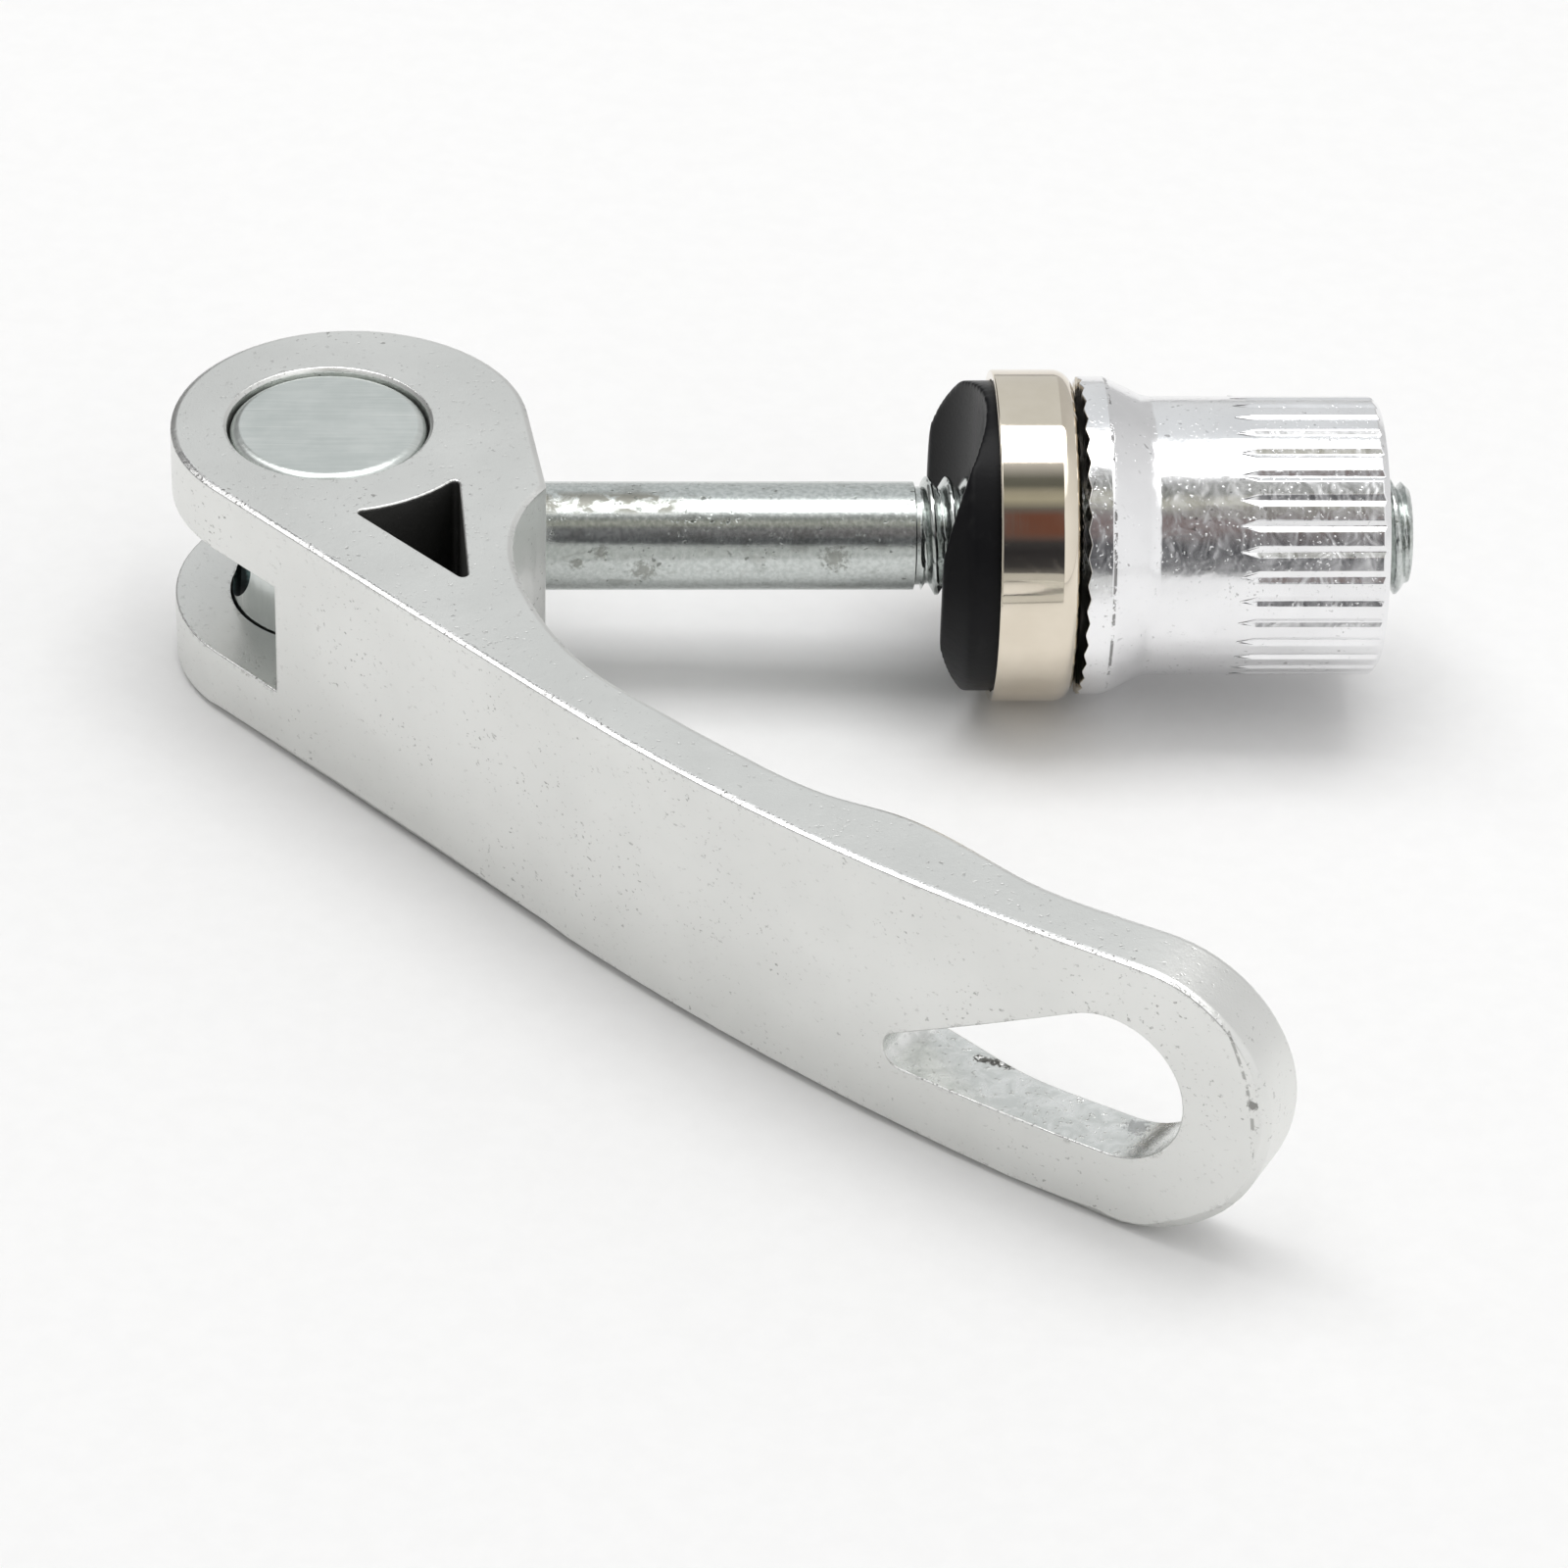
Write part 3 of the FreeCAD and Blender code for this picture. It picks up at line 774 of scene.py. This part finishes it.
def bolt_tree(material):
    """Geometry nodes for the bolt: rings along its axis whose radius follows the thread."""
    tree = bpy.data.node_groups.new("threaded bolt", "GeometryNodeTree")
    names = ["Tail", "Tip", "Crest", "Shank", "Groove", "Root", "Pitch"]
    names += ["Shank end", "Groove length", "Chamfer"]
    for name in names:
        tree.interface.new_socket(name, in_out="INPUT", socket_type="NodeSocketFloat")
    for name in ("Rings", "Turn steps"):
        tree.interface.new_socket(name, in_out="INPUT", socket_type="NodeSocketInt")
    tree.interface.new_socket("Geometry", in_out="OUTPUT", socket_type="NodeSocketGeometry")
    start = Wire(tree).add("NodeGroupInput")
    size = {name: start.sibling(name) for name in names + ["Rings", "Turn steps"]}
    rings = size["Rings"]
    grid = start.add("GeometryNodeMeshGrid", None, {
        "Size X": rings - 1,
        "Size Y": 1.0,
        "Vertices X": rings,
        "Vertices Y": size["Turn steps"] + 1,
    })
    place = start.add("GeometryNodeInputPosition")
    ring = place.along("X") + (rings - 1) * 0.5
    turn = place.along("Y") + 0.5
    # The first and last rings close the ends on the axis
    station = ((ring - 1) / (rings - 3)).most(0.0).least(1.0)
    wall = (ring > 0.5) * (ring < rings - 1.5)
    along = size["Tail"] + station * (size["Tip"] - size["Tail"])
    flank = 1 - abs((along / size["Pitch"] - turn).part_of_one() * 2 - 1)
    crest = (flank * FLANK_RISE - ROOT_FLAT).most(0.0).least(1.0)
    thread = size["Root"] + crest * (size["Crest"] - size["Root"])
    groove_end = size["Shank end"] + size["Groove length"]
    on_shank = along < size["Shank end"]
    in_groove = (1 - on_shank) * (along < groove_end)
    threaded = 1 - on_shank - in_groove
    radius = size["Shank"] * on_shank + size["Groove"] * in_groove + thread * threaded
    tip_limit = size["Crest"] - size["Chamfer"] + size["Tip"] - along
    radius = radius.least(tip_limit) * wall
    angle = turn * (2 * pi)
    spot = start.add("ShaderNodeCombineXYZ", None, {
        "X": along,
        "Y": radius * angle.maths("COSINE", angle),
        "Z": radius * angle.maths("SINE", angle),
    })
    body = start.add("GeometryNodeSetPosition", None, {"Geometry": grid, "Position": spot})
    body = start.add("GeometryNodeMergeByDistance", None, {"Geometry": body, "Distance": MERGE})
    body = start.add("GeometryNodeSetShadeSmooth", None, {"Geometry": body, "Shade Smooth": True})
    body = start.add("GeometryNodeRealizeInstances", None, {"Geometry": body})
    body = start.add("GeometryNodeSetMaterial", None, {"Geometry": body, "Material": material})
    start.add("NodeGroupOutput", None, {"Geometry": body})
    return tree


def threaded_bolt(material):
    """The bolt with its thread, as long and as thick as the CAD node."""
    low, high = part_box("bolt")
    tree = bolt_tree(material)
    bolt = bpy.data.objects.new("threaded_bolt", bpy.data.meshes.new("threaded_bolt"))
    bpy.context.scene.collection.objects.link(bolt)
    shaping = bolt.modifiers.new("thread", "NODES")
    shaping.node_group = tree
    sizes = {
        "Tail": low.x,
        "Tip": high.x,
        "Crest": high.y,
        "Shank": SHANK_R,
        "Groove": GROOVE_R,
        "Root": ROOT_R,
        "Pitch": PITCH,
        "Shank end": SHANK_END,
        "Groove length": GROOVE_L,
        "Chamfer": TIP_CHAMFER,
        "Rings": round((high.x - low.x) / PITCH * RINGS_PER_PITCH) + 3,
        "Turn steps": TURN_STEPS,
    }
    for item in tree.interface.items_tree:
        if item.in_out == "INPUT":
            shaping[item.identifier] = sizes[item.name]
    bolt = evaluated(bolt)
    shape = bmesh.new()
    shape.from_mesh(bolt.data)
    bmesh.ops.recalc_face_normals(shape, faces=shape.faces)
    shape.to_mesh(bolt.data)
    shape.free()
    bolt.data.set_sharp_from_angle(angle=THREAD_SHARP)
    return bolt


def resting_face():
    """A point and the outward normal of the hull's face that lies under the balance point."""
    hull = bmesh.new()
    for node in frame["nodes"].values():
        for vertex in node.data.vertices:
            hull.verts.new(vertex.co)
    bmesh.ops.remove_doubles(hull, verts=hull.verts, dist=HULL_MERGE)
    bmesh.ops.convex_hull(hull, input=hull.verts)
    best = None
    for face in hull.faces:
        if face.normal.z > UNDERSIDE_LEAN:
            continue
        drop = (face.verts[0].co - BALANCE_POINT).dot(face.normal) / face.normal.z
        below = BALANCE_POINT + Vector((0, 0, drop))
        if bmesh.geometry.intersect_face_point(face, below):
            best = (below, face.normal.copy())
    hull.free()
    return best


def paper_floor(material):
    """A sheet under the part, in the plane of the hull's face that it rests on."""
    below, normal = resting_face()
    half = FLOOR_SIDE / 2
    tilt = Vector((0, 0, 1)).rotation_difference(-normal).to_matrix()
    corners = [below + tilt @ Vector((x, y, 0)) for x, y in
               ((-half, -half), (half, -half), (half, half), (-half, half))]
    mesh = bpy.data.meshes.new("paper_floor")
    mesh.from_pydata(corners, [], [(0, 1, 2, 3)])
    mesh.materials.append(material)
    floor = bpy.data.objects.new("paper_floor", mesh)
    bpy.context.scene.collection.objects.link(floor)


def softbox():
    """The one lamp, overhead and a little behind."""
    light = bpy.data.lights.new("softbox", "AREA")
    light.shape = "RECTANGLE"
    light.size = SOFTBOX_WIDE
    light.size_y = SOFTBOX_DEEP
    light.energy = SOFTBOX_POWER
    lamp = bpy.data.objects.new("softbox", light)
    bpy.context.scene.collection.objects.link(lamp)
    towards = Vector((0, -cos(SOFTBOX_ELEVATION), sin(SOFTBOX_ELEVATION)))
    lamp.location = BALANCE_POINT + towards * SOFTBOX_DISTANCE
    lamp.rotation_euler = towards.to_track_quat("Z", "Y").to_euler()


def pale_room():
    """Surroundings by height from the front horizon over the top to the back, with pale walls aside."""
    world = bpy.data.worlds.new("pale room")
    world.use_nodes = True
    tree = world.node_tree
    tree.nodes.clear()
    towards = Wire(tree).add("ShaderNodeTexCoord", output="Generated")
    east, north, up = (towards.along(axis) for axis in "XYZ")
    height = east.maths("ARCTAN2", up, -north) / pi
    stops = [
        (0 / 180, (0.30, 0.30, 0.30)),
        (12 / 180, (0.05, 0.05, 0.055)),
        (22 / 180, (0.03, 0.03, 0.035)),
        (29 / 180, (0.05, 0.05, 0.055)),
        (35 / 180, (0.12, 0.13, 0.14)),
        (46 / 180, (0.16, 0.175, 0.19)),
        (51 / 180, (0.15, 0.145, 0.14)),
        (58 / 180, (0.45, 0.44, 0.36)),
        (63 / 180, (0.38, 0.37, 0.31)),
        (68 / 180, (0.13, 0.135, 0.12)),
        (73 / 180, (0.15, 0.155, 0.14)),
        (84 / 180, (0.62, 0.62, 0.62)),
        (122 / 180, (0.75, 0.77, 0.78)),
        (1.0, (0.72, 0.73, 0.73)),
    ]
    colour = height.add("ShaderNodeValToRGB", {"stops": stops}, {"Fac": height})
    # A warm dark patch beside the camera shows in the cup and in the nut's neck
    patch = height.between(27 / 180, 36 / 180) * (1 - height.between(46 / 180, 53 / 180))
    patch = patch * (1 - abs(east - 0.09).between(0.008, 0.045))
    colour = patch.mix(colour, rgb(0.17, 0.07, 0.047))
    # Walls aside: pale on the right, dim on the left, with a bright ceiling in front of the softbox
    turn = abs(east.maths("ARCTAN2", east, -north)) / pi
    right = turn.shades((0.0, 1.0), (0.5, 0.83), (0.8, 0.60))
    left = turn.shades((0.0, 0.47), (0.5, 0.44), (0.8, 0.20))
    ceiling = turn.shades((0.4, 1.8), (0.6, 0.6))
    # A pale panel behind on the left whitens the lever's rim beside its head
    panel = up.between(0.62, 0.70) * turn.between(0.60, 0.66) * (1 - turn.between(0.78, 0.84))
    left = panel.mix(left, rgb(1.6, 1.6, 1.6))
    aside = up.between(0.80, 0.90).mix((east > 0).mix(left, right), ceiling)
    colour = abs(east).between(0.13, 0.20).mix(colour, aside)
    glow = towards.add("ShaderNodeBackground", None, {"Color": colour, "Strength": 1.0})
    towards.add("ShaderNodeOutputWorld", None, {"Surface": glow})
    bpy.context.scene.world = world


def photo_camera():
    """Camera at the photo's angle."""
    data = bpy.data.cameras.new("photo_camera")
    data.lens = LENS_MM
    data.sensor_width = SENSOR_MM
    data.clip_start, data.clip_end = CAMERA_REACH
    camera = bpy.data.objects.new("photo_camera", data)
    bpy.context.scene.collection.objects.link(camera)
    level = Vector((cos(CAMERA_YAW), -sin(CAMERA_YAW), 0))
    ahead = Vector((sin(CAMERA_YAW), cos(CAMERA_YAW), 0)) * cos(CAMERA_ELEVATION)
    ahead.z = -sin(CAMERA_ELEVATION)
    upright = level.cross(ahead)
    right = level * cos(CAMERA_ROLL) + upright * sin(CAMERA_ROLL)
    up = upright * cos(CAMERA_ROLL) - level * sin(CAMERA_ROLL)
    turn = Matrix((right, up, -ahead)).transposed().to_4x4()
    camera.matrix_world = Matrix.Translation(LOOK_AT - ahead * CAMERA_DISTANCE) @ turn
    bpy.context.scene.camera = camera


lever_finishes = [tumbled_aluminium(), rubbed_edge(), rough_wall()]
zinc, brushed = stained_zinc(), brushed_zinc()
black, nickel, bright = satin_black(), warm_nickel(), turned_aluminium()

lever = rounded(
    "lever", "cam_lever", CUT_ROUND, lever_share, lever_finishes, lever_finish, prepare=flatter_rims)
bright_rims_only(lever)
settle(lever, "lever")
barrel_finishes = [brushed, brushed, tapped_hole_shade()]
barrel = rounded(
    "barrel", "pivot_barrel", BARREL_ROUND, barrel_share, barrel_finishes, barrel_finish, prepare=drilled)
settle(barrel, "barrel")
settle(threaded_bolt(zinc), "bolt")
settle(moulded("cam_seat", "saddle_seat", black), "cam_seat")
cup = rounded("cup_washer", "drawn_cup", CUP_ROUND, sharp_share, [nickel], turned=True)
settle(cup, "cup_washer")
nut = rounded("thumb_nut", "knurled_nut", NECK_ROUND, nut_share, [bright], turned=True)
settle(nut, "thumb_nut")

paper_floor(white_paper())
softbox()
pale_room()
photo_camera()
bpy.context.scene.view_settings.view_transform = "Standard"
